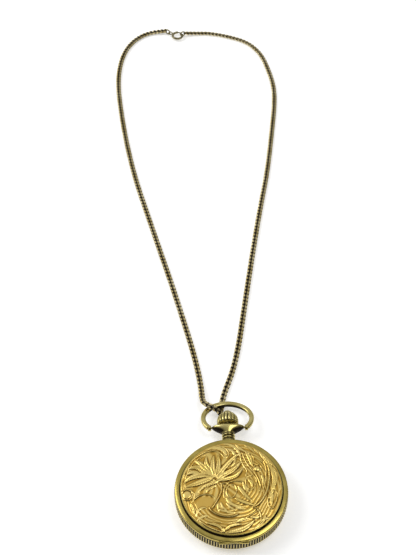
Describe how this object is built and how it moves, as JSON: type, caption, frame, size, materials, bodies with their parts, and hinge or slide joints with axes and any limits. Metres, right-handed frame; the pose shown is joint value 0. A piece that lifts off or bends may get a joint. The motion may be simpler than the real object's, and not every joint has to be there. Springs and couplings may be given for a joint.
{
  "type": "pendant watch",
  "caption": "Lidded pendant watch with relief lid, reeded band, bow, fluted crown, hand-wound movement and a curb-chain necklace closed by a spring ring.",
  "frame": {"origin": "centre of the flat of the back cover, which the watch rests on", "axes": "+Z out through the lid, +Y up the pendant towards the crown and the clasp, +X to the right of the dial"},
  "size_m": [0.0798, 0.2909, 0.0114],
  "materials": {
    "case_gold": "polished gold",
    "pendant_gold": "polished gold",
    "crystal": "clear",
    "steel": "polished",
    "blued_steel": "blued",
    "wheel_brass": "gilt",
    "plate": "nickelled, ground",
    "dial": "enamel",
    "chain_gold": "polished gold, darkened",
    "clasp_gold": "polished gold"
  },
  "bodies": {
    "case": {"case_band": "case_gold", "back_cover": "case_gold", "bezel": "case_gold", "crystal": "crystal", "pendant": "pendant_gold", "pendant_sleeve": "steel", "bow_pin_left": "pendant_gold", "bow_pin_right": "pendant_gold", "lid_hinge_pin": "steel", "fly_spring": "steel", "dial": "dial", "main_plate": "plate", "barrel_bridge": "plate", "train_bridge": "plate", "pallet_bridge": "plate", "balance_cock": "plate", "click_stud": "steel", "click_spring": "steel", "hairspring": "blued_steel", "hairspring_stud": "steel", "crown_wheel_screw": "steel", "bridge_screws": "steel"},
    "lid": {"front_lid": "case_gold"},
    "catch": {"lid_catch": "steel"},
    "bow": {"bow": "pendant_gold", "chain_left": "chain_gold", "chain_right": "chain_gold", "end_ring_left": "clasp_gold", "end_ring_right": "clasp_gold", "spring_ring": "clasp_gold"},
    "clasp_bolt": {"clasp_bolt": "clasp_gold"},
    "winding_pinion": {"winding_pinion": "steel"},
    "crown": {"crown": "pendant_gold", "winding_stem": "steel"},
    "clutch": {"clutch": "steel"},
    "setting_lever": {"setting_lever": "steel"},
    "yoke": {"yoke": "steel"},
    "crown_wheel": {"crown_wheel": "steel"},
    "ratchet": {"ratchet_wheel": "steel", "barrel_arbor": "steel", "ratchet_screw": "steel", "mainspring": "steel"},
    "click": {"click": "steel"},
    "minute": {"cannon_pinion": "steel", "minute_hand": "blued_steel"},
    "minute_wheel": {"minute_wheel": "wheel_brass"},
    "hour": {"hour_wheel": "wheel_brass", "hour_hand": "blued_steel"},
    "carrier_wheel": {"carrier_wheel": "steel"},
    "setting_wheel": {"setting_wheel": "steel"},
    "fourth": {"fourth_wheel": "wheel_brass", "seconds_hand": "blued_steel"},
    "third": {"third_wheel": "wheel_brass"},
    "centre": {"centre_wheel": "wheel_brass"},
    "barrel": {"barrel": "wheel_brass", "barrel_cover": "wheel_brass"},
    "escape": {"escape_wheel": "wheel_brass"},
    "pallet": {"pallet_fork": "steel"},
    "balance": {"balance": "wheel_brass"}
  },
  "joints": [
    {"name": "lid_hinge", "type": "hinge", "parent": "case", "child": "lid", "pos_m": [0, -0.0202, 0.0076], "axis": [1, 0, 0], "range_deg": [0, 95]},
    {"name": "catch_press", "type": "slide", "parent": "case", "child": "catch", "axis": [0, -1, 0], "range_m": [0, 0.00025], "stiffness_N_per_m": 200},
    {"name": "bow_swing", "type": "hinge", "parent": "case", "child": "bow", "pos_m": [0, 0.0276, 0.0055], "axis": [1, 0, 0], "range_deg": [-20, 100]},
    {"name": "clasp_trigger", "type": "hinge", "parent": "bow", "child": "clasp_bolt", "pos_m": [-0.016, 0.265, 0.00135], "axis": [0, 0, 1], "range_deg": [0, 38], "stiffness_Nm_per_rad": 0.0005},
    {"name": "crown_turn", "type": "hinge", "parent": "case", "child": "winding_pinion", "pos_m": [0, 0.014, 0.0055], "axis": [0, 1, 0], "continuous": true},
    {"name": "crown_pull", "type": "slide", "parent": "winding_pinion", "child": "crown", "axis": [0, 1, 0], "range_m": [-0.0003, 0.001]},
    {"name": "clutch_shift", "type": "slide", "parent": "winding_pinion", "child": "clutch", "axis": [0, 1, 0], "range_m": [-0.0006, 0.00018]},
    {"name": "setting_lever_pivot", "type": "hinge", "parent": "case", "child": "setting_lever", "pos_m": [0.0032, 0.0155, 0.0064], "axis": [0, 0, -1], "range_deg": [-6.7, 22.2]},
    {"name": "yoke_pivot", "type": "hinge", "parent": "case", "child": "yoke", "pos_m": [-0.0034, 0.0134, 0.0064], "axis": [0, 0, -1], "range_deg": [-3.2, 10.4]},
    {"name": "crown_wheel_turn", "type": "hinge", "parent": "case", "child": "crown_wheel", "pos_m": [0.0018, 0.01166, 0.0032], "axis": [0, 0, 1], "continuous": true},
    {"name": "ratchet_turn", "type": "hinge", "parent": "case", "child": "ratchet", "pos_m": [0.0066, 0.0052, 0.0032], "axis": [0, 0, 1], "continuous": true},
    {"name": "click_rock", "type": "hinge", "parent": "case", "child": "click", "pos_m": [0.0122, 0.0026, 0.0032], "axis": [0, 0, 1], "range_deg": [-6, 0], "stiffness_Nm_per_rad": 0.0005},
    {"name": "minute_turn", "type": "hinge", "parent": "case", "child": "minute", "pos_m": [0, 0, 0.008], "axis": [0, 0, -1], "continuous": true},
    {"name": "minute_wheel_turn", "type": "hinge", "parent": "case", "child": "minute_wheel", "pos_m": [0, 0.0024, 0.0064], "axis": [0, 0, 1], "continuous": true},
    {"name": "hour_turn", "type": "hinge", "parent": "case", "child": "hour", "pos_m": [0, 0, 0.0077], "axis": [0, 0, -1], "continuous": true},
    {"name": "carrier_wheel_turn", "type": "hinge", "parent": "case", "child": "carrier_wheel", "pos_m": [0, 0.00564, 0.0064], "axis": [0, 0, -1], "continuous": true},
    {"name": "setting_wheel_turn", "type": "hinge", "parent": "case", "child": "setting_wheel", "pos_m": [0, 0.00864, 0.0064], "axis": [0, 0, 1], "continuous": true},
    {"name": "seconds_turn", "type": "hinge", "parent": "case", "child": "fourth", "pos_m": [0, -0.0082, 0.0053], "axis": [0, 0, -1], "continuous": true},
    {"name": "third_turn", "type": "hinge", "parent": "case", "child": "third", "pos_m": [0.00268, -0.00469, 0.0049], "axis": [0, 0, 1], "continuous": true},
    {"name": "centre_turn", "type": "hinge", "parent": "case", "child": "centre", "pos_m": [0, 0, 0.0044], "axis": [0, 0, -1], "continuous": true},
    {"name": "barrel_turn", "type": "hinge", "parent": "case", "child": "barrel", "pos_m": [0.0066, 0.0052, 0.005], "axis": [0, 0, 1], "continuous": true},
    {"name": "escape_turn", "type": "hinge", "parent": "case", "child": "escape", "pos_m": [-0.0036, -0.0104, 0.0047], "axis": [0, 0, 1], "continuous": true},
    {"name": "pallet_rock", "type": "hinge", "parent": "case", "child": "pallet", "pos_m": [-0.0061, -0.0084, 0.0047], "axis": [0, 0, 1], "range_deg": [-5, 5]},
    {"name": "balance_swing", "type": "hinge", "parent": "case", "child": "balance", "pos_m": [-0.0102, -0.0045, 0.0041], "axis": [0, 0, 1], "range_deg": [-270, 270], "stiffness_Nm_per_rad": 0.00005}
  ],
  "couplings": [
    {"joint": "clutch_shift", "follows": "crown_pull", "ratio": -0.6},
    {"joint": "setting_lever_pivot", "follows": "crown_pull", "rad_per_m": 383.97},
    {"joint": "yoke_pivot", "follows": "crown_pull", "rad_per_m": 178.02},
    {"joint": "crown_wheel_turn", "follows": "crown_turn", "ratio": 0.41667},
    {"joint": "ratchet_turn", "follows": "crown_turn", "ratio": -0.27778},
    {"joint": "minute_wheel_turn", "follows": "minute_turn", "ratio": 0.33333},
    {"joint": "hour_turn", "follows": "minute_turn", "ratio": 0.083333},
    {"joint": "carrier_wheel_turn", "follows": "minute_turn", "ratio": 0.41667},
    {"joint": "setting_wheel_turn", "follows": "minute_turn", "ratio": 0.38461},
    {"joint": "third_turn", "follows": "seconds_turn", "ratio": 0.13333},
    {"joint": "centre_turn", "follows": "seconds_turn", "ratio": 0.016667},
    {"joint": "barrel_turn", "follows": "seconds_turn", "ratio": 0.002778},
    {"joint": "escape_turn", "follows": "seconds_turn", "ratio": 8}
  ]
}
